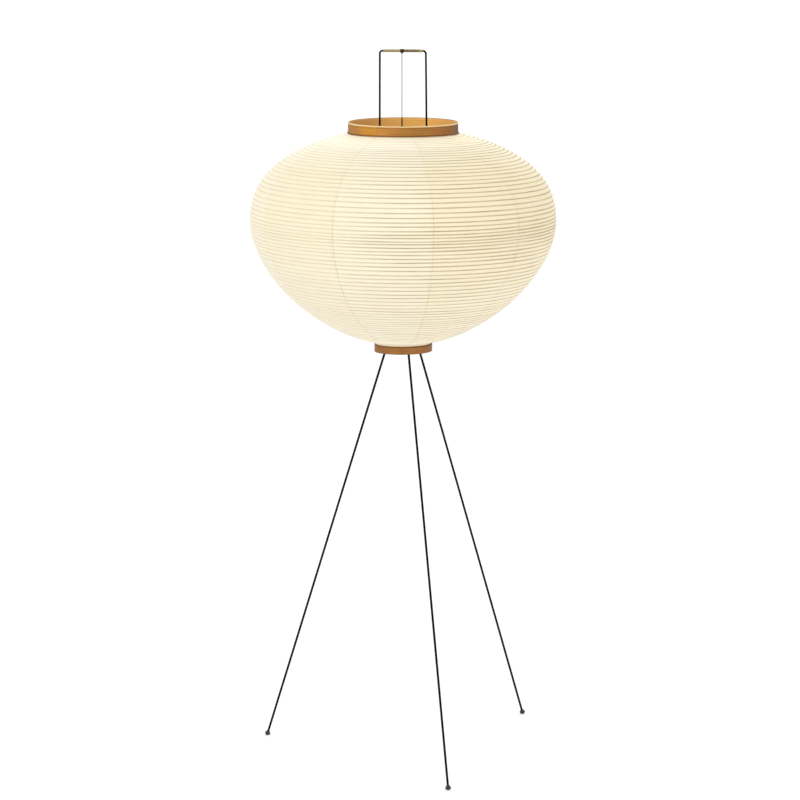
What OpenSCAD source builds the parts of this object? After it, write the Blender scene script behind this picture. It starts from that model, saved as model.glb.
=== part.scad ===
// Paper lantern floor lamp on three plug-in wire legs.
// Millimetres, +Z up. The origin is on the floor, on the lantern's upright axis.
// The front of the lamp looks along -Y.

/* [Lantern] */
// Largest outer radius of the paper lantern
lantern_r = 265.7; // [230:0.1:290]
// Height of the widest turn above the floor
lantern_eq_z = 942.8; // [925:0.1:960]
// Height where the paper meets the top collar
lantern_top_z = 1093.2; // [1080:0.1:1098]
// Height where the paper meets the bottom collar
lantern_bottom_z = 729.3; // [728:0.1:731]
// Fullness of the upper half, larger is squarer
upper_n = 2.33; // [2:0.01:2.8]
// Roundness of the upper shoulder
upper_m = 1.54; // [1.3:0.01:1.9]
// Fullness of the lower half
lower_n = 1.83; // [1.6:0.01:2.3]
// Roundness of the lower shoulder
lower_m = 1.49; // [1.3:0.01:1.9]
// Thickness of the paper with its glue
paper_t = 0.4; // [0.3:0.05:0.8]
// Turns of the bamboo rib
rib_turns = 71; // [40:1:80]
// Thickness of the split bamboo
rib_t = 1.2; // [0.8:0.1:1.6]

/* [Collars] */
// Outer radius of the top collar at its rim
top_collar_r = 96.1; // [90:0.1:105]
// Height of the top collar
top_collar_h = 18; // [15:0.5:26]
// Outer radius of the bottom collar
bottom_collar_r = 50.5; // [47:0.1:56]
// Height of the bottom collar
bottom_collar_h = 15; // [14.5:0.5:20]
// Thickness of both bentwood collars
collar_t = 2.5; // [2.3:0.1:3]

/* [Handle] */
// Height of the handle bar's middle above the floor
bar_z = 1235.2; // [1190:0.1:1270]
// Left upright's distance from the axis
bail_left = 41; // [36:0.1:48]
// Right upright's distance from the axis
bail_right = 39.8; // [36:0.1:48]
// Radius of the bail wire
bail_r = 1.35; // [1.2:0.05:1.6]
// Radius of the bail's upper bends
bail_bend = 6; // [5:0.5:10]
// Outer radius of the cane wrapping
grip_r = 2.6; // [2.3:0.05:3.2]
// Radius of the hanger wire
hanger_r = 0.6; // [0.5:0.05:0.8]
// Sideways place of the hanger wire, measured from the axis
hanger_x = -2.7; // [-6:0.1:6]

/* [Legs] */
// Height where the three leg axes meet
apex_z = 814; // [809:0.5:822]
// Radius of the leg wire
leg_r = 1.6; // [1.4:0.05:2]
// Floor radius of the left foot
left_foot_r = 252.5; // [235:0.5:320]
// Bearing of the left foot, from the front
left_foot_a = -103.6; // [-112:0.1:-96]
// Floor radius of the front foot
front_foot_r = 277.1; // [235:0.5:320]
// Bearing of the front foot, from the front
front_foot_a = 16; // [8:0.1:24]
// Floor radius of the right foot
right_foot_r = 295.1; // [235:0.5:320]
// Bearing of the right foot, from the front
right_foot_a = 131.6; // [124:0.1:139]
// Radius of the round foot tips
foot_r = 4.9; // [4.4:0.1:6]
// Height of their coned tops
foot_h = 4.6; // [3.5:0.1:8]

/* [Light] */
// Radius of the bulb's globe
bulb_r = 30; // [28:0.5:32]
// Radius of the lampholder
holder_r = 19.5; // [19:0.1:21]
// Radius of the hub that takes the legs
hub_r = 28; // [27:0.5:30]

/* [Hidden] */
$fn = 96;
e = 0.01;

// lantern outline: phi runs from -90 at the bottom collar to 90 at the top collar
upper_r = 80;
lower_r = 44.3;
steps = 720;
function out_z(p) = lantern_eq_z + (p >= 0 ? lantern_top_z - lantern_eq_z : lantern_eq_z - lantern_bottom_z) * sin(p);
function swell(s, n, m) = pow(max(0, 1 - pow(s, n)), 1 / m);
function out_r(p) = p >= 0
    ? upper_r + (lantern_r - upper_r) * swell(abs(sin(p)), upper_n, upper_m)
    : lower_r + (lantern_r - lower_r) * swell(abs(sin(p)), lower_n, lower_m);
fine = [for (i = [0:steps]) let (p = -90 + 180 * i / steps) [p, out_r(p), out_z(p)]];
function gap_to(i) = i < steps ? norm([fine[i + 1][1] - fine[i][1], fine[i + 1][2] - fine[i][2]]) : 0;
run = [for (i = 0, s = 0; i <= steps; s = s + gap_to(i), i = i + 1) s];
phi_at = [for (i = [0:steps]) [run[i], fine[i][0]]];
top_lip_r = top_collar_r - collar_t - 0.2;
bottom_lip_r = bottom_collar_r - collar_t - 0.1;
run_top = lookup(top_lip_r, [for (i = [steps / 2:steps]) [fine[i][1], run[i]]]);
run_bottom = lookup(bottom_lip_r, [for (i = [0:steps / 2]) [fine[i][1], run[i]]]);
function outline(s) = let (p = lookup(s, phi_at)) [out_r(p), out_z(p)];
function outward(s) = let (d = outline(s + 0.6) - outline(s - 0.6)) [d[1], -d[0]] / norm(d);
function inset(s, t) = outline(s) - outward(s) * t;

// stand
hub_top = 776;
hub_h = 24;
bail_end_z = 768;
leg_top_z = 771.5;
socket_gap = 0.3;
socket_r = leg_r + 0.05;
foot_z = 4;
apex = [0, 0, apex_z];
function foot_at(r, a) = [r * sin(a), -r * cos(a), foot_z];
left_foot = foot_at(left_foot_r, left_foot_a);
front_foot = foot_at(front_foot_r, front_foot_a);
right_foot = foot_at(right_foot_r, right_foot_a);
feet = [left_foot, front_foot, right_foot];
function along(p, z) = p + (apex - p) * (z - p[2]) / (apex[2] - p[2]);
nipple_r = 5;
nipple_bore = 3.6;
nipple_bottom = 714.8;
nipple_top = 794;
nut_flat = 14;
nut_h = 3;
washer_h = 1.2;
spider_z = 721;
spider_t = 1.5;
tab_w = 9;
tab_r = bottom_collar_r - collar_t - 0.4;
spider_arms = [(left_foot_a + front_foot_a) / 2, (front_foot_a + right_foot_a) / 2, (right_foot_a + left_foot_a) / 2 + 180];
screw_x = 23;

// top
collar_z = lantern_top_z - 0.2;
crosswire_z = collar_z + 7;
crosswire_r = 1.25;
eye_r = crosswire_r + bail_r + 0.5;
hanger_y = grip_r + hanger_r + 0.4;
lashing_left = hanger_x - 2.6;
lashing_right = hanger_x + 5.1;

// light
shell_top = 842;
core_z = 803.5;
brass_r = 13.9;
base_r = 13.1;
glass_t = 1;

// a round bar from one point to another
module bar(p, q, r) {
    d = q - p;
    l = norm(d);
    translate(p) rotate([0, acos(d[2] / l), atan2(d[1], d[0])]) cylinder(h = l, r = r);
}

// the same, tapering
module cone(p, q, r1, r2) {
    d = q - p;
    l = norm(d);
    translate(p) rotate([0, acos(d[2] / l), atan2(d[1], d[0])]) cylinder(h = l, r1 = r1, r2 = r2);
}

// a bearing measured from the front, seen from above
module bearing(a) rotate([0, 0, a - 90]) children();

module leg(p) bar(along(p, foot_z - 1.2), along(p, leg_top_z), leg_r);

// a round-bottomed cap with a coned top, set square to its leg and worn flat on the floor
module foot(p) {
    d = (apex - p) / norm(apex - p);
    slope = (foot_r - leg_r - 0.5) / foot_h;
    under = p - d * (foot_r + 2);
    difference() {
        intersection() {
            translate(p) sphere(r = foot_r);
            cone(under, p + d * (foot_h - 0.3), foot_r + slope * (foot_r + 2), foot_r - slope * (foot_h - 0.3));
            translate([p[0] - 20, p[1] - 20, 0]) cube([40, 40, 40]);
        }
        bar(along(p, foot_z - 1.2), along(p, foot_z + 30), leg_r);
    }
}

module leg_left() color("#17171a") leg(left_foot);
module leg_front() color("#17171a") leg(front_foot);
module leg_right() color("#17171a") leg(right_foot);
module foot_left() color("#101012") foot(left_foot);
module foot_front() color("#101012") foot(front_foot);
module foot_right() color("#101012") foot(right_foot);

// turned steel hub: three slanted sockets for the legs, two side holes for the bail
module hub() color("#1b1b1e") difference() {
    rotate_extrude() polygon([
        [nipple_r + 0.02, hub_top - hub_h], [hub_r - 1.5, hub_top - hub_h], [hub_r, hub_top - hub_h + 1.5],
        [hub_r, hub_top - 1.5], [hub_r - 1.5, hub_top], [nipple_r + 0.02, hub_top]
    ]);
    for (p = feet)
        bar(along(p, leg_top_z + socket_gap), along(p, hub_top - hub_h - 12), socket_r);
    for (s = [-1, 1]) {
        translate([s * 18, 0, bail_end_z]) rotate([0, s * 90, 0]) cylinder(h = 20, r = bail_r);
        translate([s * screw_x, 0, bail_end_z]) cylinder(h = 20, r = 1.5);
    }
}

module hub_setscrews() color("#8b8d90") for (s = [-1, 1])
    translate([s * screw_x, 0, bail_end_z + bail_r + 0.05]) difference() {
        cylinder(h = 6, r = 1.48);
        translate([0, 0, 4.4]) cylinder(h = 3, r = 0.87, $fn = 6);
    }

module nipple() color("#b9a46a") translate([0, 0, nipple_bottom]) difference() {
    cylinder(h = nipple_top - nipple_bottom, r = nipple_r);
    translate([0, 0, -1]) cylinder(h = nipple_top - nipple_bottom + 2, r = nipple_bore);
}

module lock_nuts() color("#b3b1a8")
    for (z = [hub_top, hub_top - hub_h - nut_h, spider_z + spider_t + washer_h, spider_z - washer_h - nut_h])
        translate([0, 0, z]) difference() {
            cylinder(h = nut_h, r = nut_flat / 2 / cos(30), $fn = 6);
            translate([0, 0, -1]) cylinder(h = nut_h + 2, r = nipple_r + 0.02);
        }

module spider_washers() color("#a5a6a6")
    for (z = [spider_z + spider_t, spider_z - washer_h])
        translate([0, 0, z]) difference() {
            cylinder(h = washer_h, r = 10);
            translate([0, 0, -1]) cylinder(h = washer_h + 2, r = nipple_r + 0.2);
        }

// plastic bushing that lines the nipple's lower end, where the cord goes in
module cord_bushing() color("#161616") difference() {
    union() {
        translate([0, 0, nipple_bottom - 1.5]) cylinder(h = 1.5, r = nipple_r);
        translate([0, 0, nipple_bottom - 0.5]) cylinder(h = 9, r = nipple_bore - 0.02);
    }
    translate([0, 0, nipple_bottom - 5]) cylinder(h = 20, r = 2.7);
}

// three-armed steel crosspiece across the bottom collar
module bottom_spider() color("#242427") difference() {
    union() {
        translate([0, 0, spider_z]) cylinder(h = spider_t, r = 13);
        for (a = spider_arms) bearing(a) {
            translate([0, -tab_w / 2, spider_z]) cube([tab_r, tab_w, spider_t]);
            translate([tab_r - spider_t, -tab_w / 2, spider_z - 5.5]) cube([spider_t, tab_w, 5.5 + spider_t]);
        }
    }
    translate([0, 0, spider_z - 1]) cylinder(h = spider_t + 2, r = nipple_r + 0.2);
    for (a = spider_arms) bearing(a)
        translate([tab_r - spider_t - 1, 0, spider_z - 2.6]) rotate([0, 90, 0]) cylinder(h = spider_t + 2, r = 0.75);
}

module tack_shank(extra) bearing_tacks() translate([tab_r - spider_t - 0.3, 0, spider_z - 2.6])
    rotate([0, 90, 0]) cylinder(h = spider_t + 2.3 + extra, r = 0.7);
module bearing_tacks() for (a = spider_arms) bearing(a) children();

module spider_tacks() color("#c9a455") union() {
    tack_shank(0);
    bearing_tacks() translate([tab_r - spider_t - 0.8, 0, spider_z - 2.6]) rotate([0, 90, 0]) cylinder(h = 0.75, r = 1.8);
}

module bottom_collar() color("#9a6b3c") difference() {
    translate([0, 0, lantern_bottom_z - bottom_collar_h]) difference() {
        cylinder(h = bottom_collar_h, r = bottom_collar_r);
        translate([0, 0, -1]) cylinder(h = bottom_collar_h + 2, r = bottom_collar_r - collar_t);
    }
    tack_shank(0);
}

// the bail: one wire from the hub up through the top collar, over, and back down
module bail() color("#17171a") {
    low = 8;
    // lower ends in the hub's side holes
    translate([-bail_left + low, 0, bail_end_z]) rotate([0, 90, 0]) cylinder(h = bail_left - low - 18, r = bail_r);
    translate([18, 0, bail_end_z]) rotate([0, 90, 0]) cylinder(h = bail_right - low - 18, r = bail_r);
    translate([-bail_left + low, 0, bail_end_z + low]) rotate([90, 0, 0]) rotate([0, 0, 180]) rotate_extrude(angle = 90) translate([low, 0]) circle(r = bail_r);
    translate([bail_right - low, 0, bail_end_z + low]) rotate([90, 0, 0]) rotate([0, 0, 270]) rotate_extrude(angle = 90) translate([low, 0]) circle(r = bail_r);
    // uprights
    for (x = [-bail_left, bail_right])
        translate([x, 0, bail_end_z + low]) cylinder(h = bar_z - bail_bend - bail_end_z - low, r = bail_r);
    // upper bends and bar
    translate([-bail_left + bail_bend, 0, bar_z - bail_bend]) rotate([90, 0, 0]) rotate([0, 0, 90]) rotate_extrude(angle = 90) translate([bail_bend, 0]) circle(r = bail_r);
    translate([bail_right - bail_bend, 0, bar_z - bail_bend]) rotate([90, 0, 0]) rotate_extrude(angle = 90) translate([bail_bend, 0]) circle(r = bail_r);
    translate([-bail_left + bail_bend, 0, bar_z]) rotate([0, 90, 0]) cylinder(h = bail_left + bail_right - 2 * bail_bend, r = bail_r);
}

// cane strip wound round the bar, taken as the sleeve it makes
module cane_grip() color("#b3935a") translate([-bail_left + bail_bend - 0.3, 0, bar_z]) rotate([0, 90, 0]) difference() {
    cylinder(h = bail_left + bail_right - 2 * bail_bend + 0.6, r = grip_r);
    translate([0, 0, -1]) cylinder(h = bail_left + bail_right, r = bail_r + 0.08);
}

// dark thread lashing: a band round the grip with a loop that holds the hanger wire
module bar_lashing() color("#2b2118") difference() {
    union() {
        translate([lashing_left, 0, bar_z]) rotate([0, 90, 0]) cylinder(h = lashing_right - lashing_left, r = grip_r + 0.95);
        translate([hanger_x, hanger_y, bar_z - 5.2]) cylinder(h = 7.6, r = hanger_r + 1.3);
    }
    translate([lashing_left - 5, 0, bar_z]) rotate([0, 90, 0]) cylinder(h = lashing_right - lashing_left + 10, r = grip_r + 0.03);
    translate([hanger_x, hanger_y, bar_z - 12]) cylinder(h = 24, r = hanger_r + 0.35);
}

module top_collar() color("#b47d3f") difference() {
    rotate_extrude() polygon([
        [top_collar_r - collar_t, collar_z], [top_collar_r + 1.1, collar_z], [top_collar_r + 1.1, collar_z + 1.2],
        [top_collar_r + 0.5, collar_z + 1.8], [top_collar_r, collar_z + top_collar_h], [top_collar_r - collar_t, collar_z + top_collar_h]
    ]);
    translate([-top_collar_r + collar_t - 1.2, 0, crosswire_z]) rotate([0, 90, 0]) cylinder(h = 2 * (top_collar_r - collar_t) + 2.4, r = crosswire_r);
}

// wire across the top collar, with an eye that runs on each upright of the bail
module top_crosswire() color("#1b1b1e") {
    end = top_collar_r - collar_t + 1.1;
    translate([-end, 0, crosswire_z]) rotate([0, 90, 0]) cylinder(h = end - bail_left - eye_r, r = crosswire_r);
    translate([-bail_left + eye_r, 0, crosswire_z]) rotate([0, 90, 0]) cylinder(h = bail_left + bail_right - 2 * eye_r, r = crosswire_r);
    translate([bail_right + eye_r, 0, crosswire_z]) rotate([0, 90, 0]) cylinder(h = end - bail_right - eye_r, r = crosswire_r);
    for (x = [-bail_left, bail_right])
        translate([x, 0, crosswire_z]) rotate_extrude() translate([eye_r, 0]) circle(r = crosswire_r);
}

// thin wire that hangs the top collar from the handle bar, with a closed eye below
module hanger_wire() color("#1d1d20") {
    z = crosswire_z + hanger_y - hanger_r - crosswire_r - 0.3;
    translate([hanger_x, hanger_y, z]) cylinder(h = bar_z + 1.2 - z, r = hanger_r);
    translate([hanger_x, 0, z]) rotate([90, 0, 90]) rotate_extrude() translate([hanger_y, 0]) circle(r = hanger_r + 0.12);
}

// the paper, drawn tight over the rib and tucked into both collars
module paper_skin() color("#f6ead0") {
    bands = 96;
    step = (run_top - run_bottom) / bands;
    rotate_extrude($fn = 180) polygon(concat(
        [[bottom_lip_r, lantern_bottom_z - 4.8]],
        [for (i = [0:bands]) outline(run_bottom + i * step)],
        [[top_lip_r, collar_z + 5], [top_lip_r - paper_t, collar_z + 5]],
        [for (i = [bands:-1:0]) inset(run_bottom + i * step, paper_t)],
        [[bottom_lip_r - paper_t, lantern_bottom_z - 4.8]]
    ));
}

// one continuous strip of split bamboo, built from half-turns that meet end to end
module rib_spiral() color("#c9ad7c") mirror([0, 1, 0]) {
    halves = 2 * rib_turns;
    first = run_bottom + 4;
    last = run_top - 4;
    for (k = [0:halves - 1]) {
        s0 = first + (last - first) * k / halves;
        s1 = first + (last - first) * (k + 1) / halves;
        a = inset(s0, paper_t + 0.2 + rib_t * 0.71);
        b = inset(s1, paper_t + 0.2 + rib_t * 0.71);
        side = k % 2 == 0 ? 1 : -1;
        from = [side * a[0], a[1]];
        to = [-side * b[0], b[1]];
        mid = (from + to) / 2;
        half = norm(to - from) / 2;
        translate([mid[0], 0, mid[1]]) rotate([0, side * asin((mid[1] - from[1]) / half), 0]) rotate([0, 0, side > 0 ? 0 : 180])
            rotate_extrude(angle = 180, $fn = 144) translate([half, 0]) polygon([[rib_t * 0.7, 0], [0, rib_t * 0.7], [-rib_t * 0.7, 0], [0, -rib_t * 0.7]]);
    }
}

module holder_cap() color("#1a1a1b") rotate_extrude() polygon([
    [nipple_r + 0.02, hub_top + nut_h + 1], [9, hub_top + nut_h + 1], [11, hub_top + nut_h + 3], [17, 790], [holder_r, 797], [holder_r, 803],
    [holder_r - 2, 803], [holder_r - 2, 798], [14.5, 792.5], [nipple_r + 0.02, 791]
]);

module holder_shell() color("#1d1d1e") rotate_extrude() polygon([
    [holder_r - 2, 803.1], [holder_r, 803.1], [holder_r, shell_top - 1], [holder_r - 1, shell_top], [15.4, shell_top],
    [15.4, shell_top - 2], [holder_r - 2, shell_top - 2]
]);

// moulded core that carries the contacts
module holder_core() color("#e7e2d6") difference() {
    union() {
        translate([0, 0, core_z]) cylinder(h = 8, r = holder_r - 2.2);
        translate([0, 0, core_z + 7]) cylinder(h = 10, r = brass_r + 3);
    }
    translate([0, 0, core_z + 6]) cylinder(h = 20, r = brass_r + 0.62);
    for (s = [-1, 1]) translate([s * 9, 0, core_z - 1]) cylinder(h = 30, r = 1.72);
    translate([0, 0, core_z - 1]) cylinder(h = 6, r = 2.4);
}

module screw_shell() color("#c8a24c") translate([0, 0, core_z + 6.1]) difference() {
    cylinder(h = 28, r = brass_r + 0.6);
    translate([0, 0, -1]) cylinder(h = 30, r = brass_r);
}

module contact_tongue() color("#c8a24c") union() {
    translate([-3, -7, core_z + 6.05]) cube([6, 14, 0.6]);
    translate([-3, -3, core_z + 6.6]) cube([6, 6, 2.4]);
}

module terminal_screws() color("#b98f3e") for (s = [-1, 1])
    translate([s * 9, 0, core_z - 2]) difference() {
        union() {
            cylinder(h = 1.9, r = 2.6);
            translate([0, 0, 1.8]) cylinder(h = 5, r = 1.7);
        }
        translate([-3, -0.4, -1]) cube([6, 0.8, 1.8]);
    }

// bulb: clear sizes are those of a common screw-base globe
bulb_z = 891;
tangent = 25;
module globe(t) {
    zt = bulb_z - bulb_r * sin(tangent);
    drop = (bulb_r * cos(tangent) - 14) / tan(tangent);
    translate([0, 0, bulb_z]) sphere(r = bulb_r - t);
    translate([0, 0, zt - drop]) cylinder(h = drop, r1 = 14 - t, r2 = bulb_r * cos(tangent) - t);
    translate([0, 0, 843]) cylinder(h = zt - drop - 843 + e, r1 = 12.2 - t, r2 = 14 - t);
    translate([0, 0, t > 0 ? 834 : 832]) cylinder(h = t > 0 ? 9 + e : 11 + e, r = 12.2 - t);
}

module bulb_glass() color("#f4efe2") difference() {
    union() globe(0);
    union() globe(glass_t);
}

module bulb_base() color("#cfcfca") rotate_extrude() polygon([
    [11, 816.6], [base_r, 818.6], [base_r, 839.5], [base_r - 0.7, 840.5],
    [base_r - 0.8, 840.5], [base_r - 0.8, 819], [10.4, 817.2]
]);

module bulb_insulator() color("#141414") translate([0, 0, 814.6]) cylinder(h = 2.3, r1 = 5, r2 = 10.3);
module bulb_contact() color("#d8d8d4") translate([0, 0, 813]) cylinder(h = 1.55, r1 = 3.4, r2 = 4.6);

leg_left();
leg_front();
leg_right();
foot_left();
foot_front();
foot_right();
hub();
hub_setscrews();
nipple();
lock_nuts();
spider_washers();
cord_bushing();
bottom_spider();
spider_tacks();
bottom_collar();
bail();
cane_grip();
bar_lashing();
top_collar();
top_crosswire();
hanger_wire();
paper_skin();
rib_spiral();
holder_cap();
holder_shell();
holder_core();
screw_shell();
contact_tongue();
terminal_screws();
bulb_glass();
bulb_base();
bulb_insulator();
bulb_contact();
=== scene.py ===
import math

import bpy
import numpy as np
from mathutils import Matrix, Vector


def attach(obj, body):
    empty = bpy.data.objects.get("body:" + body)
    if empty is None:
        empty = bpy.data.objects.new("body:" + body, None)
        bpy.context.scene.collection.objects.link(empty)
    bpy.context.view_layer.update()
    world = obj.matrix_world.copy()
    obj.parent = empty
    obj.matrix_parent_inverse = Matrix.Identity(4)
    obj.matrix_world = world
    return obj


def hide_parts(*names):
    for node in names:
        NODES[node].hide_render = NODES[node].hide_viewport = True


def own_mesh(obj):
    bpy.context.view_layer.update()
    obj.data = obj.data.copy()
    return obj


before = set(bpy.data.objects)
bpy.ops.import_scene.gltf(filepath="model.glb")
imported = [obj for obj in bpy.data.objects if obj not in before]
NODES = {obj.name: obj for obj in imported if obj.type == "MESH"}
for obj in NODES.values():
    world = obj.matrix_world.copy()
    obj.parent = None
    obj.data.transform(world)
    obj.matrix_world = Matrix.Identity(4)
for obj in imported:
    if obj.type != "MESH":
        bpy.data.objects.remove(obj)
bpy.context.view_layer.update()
scene = bpy.context.scene
MM = 0.001

# ---------------------------------------------------------------- camera, light, floor

cam_data = bpy.data.cameras.new("camera")
cam_data.sensor_width = 36.0
cam_data.lens = 129.15
cam_data.shift_x = -0.00386
cam_data.clip_start, cam_data.clip_end = 0.05, 60.0
camera = bpy.data.objects.new("camera", cam_data)
camera.location = (0.0, -4.9553, 1.4892)
camera.rotation_euler = (math.radians(90.0 - 9.888), 0.0, 0.0)
scene.collection.objects.link(camera)
scene.camera = camera

scene.view_settings.view_transform = "Standard"
scene.view_settings.look = "None"
scene.view_settings.exposure = 0.0
scene.view_settings.gamma = 1.0

world = bpy.data.worlds.new("studio")
scene.world = world
world.use_nodes = True
world.node_tree.nodes["Background"].inputs["Color"].default_value = (1.0, 0.966, 0.888, 1.0)
world.node_tree.nodes["Background"].inputs["Strength"].default_value = 0.77


def area_light(name, place, target, size, watts, colour):
    data = bpy.data.lights.new(name, "AREA")
    data.shape = "RECTANGLE"
    data.size, data.size_y = size
    data.energy = watts
    data.color = colour
    lamp = bpy.data.objects.new(name, data)
    lamp.location = place
    lamp.rotation_euler = (Vector(target) - Vector(place)).to_track_quat("-Z", "Y").to_euler()
    scene.collection.objects.link(lamp)
    return lamp


area_light("key_softbox", (-1.8, -2.9, 4.1), (0, 0, 0.9), (1.7, 1.7), 53, (0.93, 0.99, 1.0))
area_light("warm_card", (2.3, -2.6, 0.7), (0, 0, 0.95), (1.4, 1.2), 9, (1.0, 0.9, 0.68))
area_light("back_softbox", (0.6, 3.0, 2.9), (0, 0, 0.9), (2.4, 1.4), 25, (1.0, 0.99, 0.97))


# ---------------------------------------------------------------- small mesh tools

def unit(v):
    v = np.asarray(v, float)
    return v / np.linalg.norm(v)


def build(name, verts, faces, uv=None, extra=None, smooth=True):
    """A mesh object from points in millimetres. uv is one pair per face corner, extra more layers of such pairs."""
    mesh = bpy.data.meshes.new(name)
    mesh.from_pydata((np.asarray(verts, float) * MM).tolist(), [], [list(f) for f in faces])
    if uv is not None:
        layer = mesh.uv_layers.new(name="UVMap")
        layer.data.foreach_set("uv", np.asarray(uv, np.float32).ravel())
    for key, values in (extra or {}).items():
        layer = mesh.uv_layers.new(name=key)
        layer.data.foreach_set("uv", np.asarray(values, np.float32).ravel())
    mesh.validate()
    mesh.update()
    if smooth:
        mesh.polygons.foreach_set("use_smooth", [True] * len(mesh.polygons))
    obj = bpy.data.objects.new(name, mesh)
    scene.collection.objects.link(obj)
    return obj


def rings_to_mesh(name, rings, along, around, close_along=False, caps=True, **kw):
    """Rings of points (n, m, 3), each closed on itself, joined one to the next. along and around are the lengths for the UVs."""
    rings = np.asarray(rings, float)
    n, m, _ = rings.shape
    verts = rings.reshape(-1, 3).tolist()
    faces, uv = [], []
    count = n if close_along else n - 1
    for i in range(count):
        i2 = (i + 1) % n
        u0, u1 = along[i], along[i + 1]
        for j in range(m):
            j2 = (j + 1) % m
            faces.append((i * m + j, i * m + j2, i2 * m + j2, i2 * m + j))
            v0, v1 = around[j], around[j + 1]
            uv += [(u0, v0), (u0, v1), (u1, v1), (u1, v0)]
    if caps and not close_along:
        for i, flip in ((0, True), (n - 1, False)):
            centre = rings[i].mean(0)
            verts.append(centre.tolist())
            c = len(verts) - 1
            for j in range(m):
                j2 = (j + 1) % m
                tri = (i * m + j, i * m + j2, c)
                faces.append(tri[::-1] if flip else tri)
                a, b, o = (along[i], around[j]), (along[i], around[j + 1]), (along[i], 0.0)
                uv += [o, b, a] if flip else [a, b, o]
    return build(name, verts, faces, uv, **kw)


def frames_along(points, closed=False):
    p = np.asarray(points, float)
    if closed:
        t = np.roll(p, -1, 0) - np.roll(p, 1, 0)
    else:
        t = np.gradient(p, axis=0)
    t /= np.linalg.norm(t, axis=1)[:, None]
    n = np.zeros_like(t)
    seed = np.array([0, 0, 1.0]) if abs(t[0][2]) < 0.9 else np.array([0, -1.0, 0])
    n[0] = unit(seed - t[0] * np.dot(seed, t[0]))
    for i in range(1, len(p)):
        v = n[i - 1] - t[i] * np.dot(n[i - 1], t[i])
        n[i] = v / np.linalg.norm(v)
    return t, n, np.cross(t, n)


def lengths(points):
    p = np.asarray(points, float)
    return np.concatenate([[0.0], np.cumsum(np.linalg.norm(np.diff(p, axis=0), axis=1))])


def wire(name, points, radius, sides=16, dome=True, **kw):
    """A round wire with domed ends along a line of points, in millimetres. radius is a number or one per point."""
    p = np.asarray(points, float)
    r = np.full(len(p), float(radius)) if np.isscalar(radius) else np.asarray(radius, float)
    t, n, b = frames_along(p)
    if dome:
        lead, tail = [], []
        for a in (75, 45, 20):
            c, s = math.cos(math.radians(a)), math.sin(math.radians(a))
            lead.append((p[0] - t[0] * r[0] * s, r[0] * c, 0))
            tail.insert(0, (p[-1] + t[-1] * r[-1] * s, r[-1] * c, -1))
        q = [x[0] for x in lead] + list(p) + [x[0] for x in tail]
        rr = [x[1] for x in lead] + list(r) + [x[1] for x in tail]
        nn = [n[0]] * 3 + list(n) + [n[-1]] * 3
        bb = [b[0]] * 3 + list(b) + [b[-1]] * 3
    else:
        q, rr, nn, bb = list(p), list(r), list(n), list(b)
    a = np.arange(sides) * 2 * math.pi / sides
    rings = [q[i] + rr[i] * (np.cos(a)[:, None] * nn[i] + np.sin(a)[:, None] * bb[i]) for i in range(len(q))]
    run = lengths(q) * MM
    around = np.arange(sides + 1) / sides * 2 * math.pi * float(np.median(r)) * MM
    return rings_to_mesh(name, rings, run, around, **kw)


def lathe(name, profile, bearings, shift=None, **kw):
    """A closed profile of (r, z) turned about Z through these bearings, in degrees from the front. shift(bearing, r, z) gives a changed (r, z)."""
    prof = np.asarray(profile, float)
    run = lengths(np.vstack([prof, prof[:1]])) * MM
    rings = []
    for b in bearings:
        a = math.radians(b)
        q = np.array([shift(b, r, z) for r, z in prof]) if shift else prof
        rings.append(np.stack([q[:, 0] * math.sin(a), -q[:, 0] * math.cos(a), q[:, 1]], 1))
    reach = float(prof[:, 0].max())
    turned = np.radians(list(bearings) + [bearings[0] + 360.0]) * reach * MM
    return rings_to_mesh(name, rings, turned, run, close_along=True, **kw)


def smooth_noise(seed, count=9):
    """A smooth, periodic, repeatable function of two angles, about -1 to 1."""
    rng = np.random.default_rng(seed)
    terms = [(int(rng.integers(1, 7)), rng.uniform(0.2, 3.0), rng.uniform(0, 6.28), rng.uniform(0.4, 1.0)) for _ in range(count)]
    total = sum(x[3] for x in terms) * 0.55

    def value(a, b):
        return sum(w * np.sin(k * a + f * b + ph) for k, f, ph, w in terms) / total

    return value


# ---------------------------------------------------------------- material tools

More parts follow.
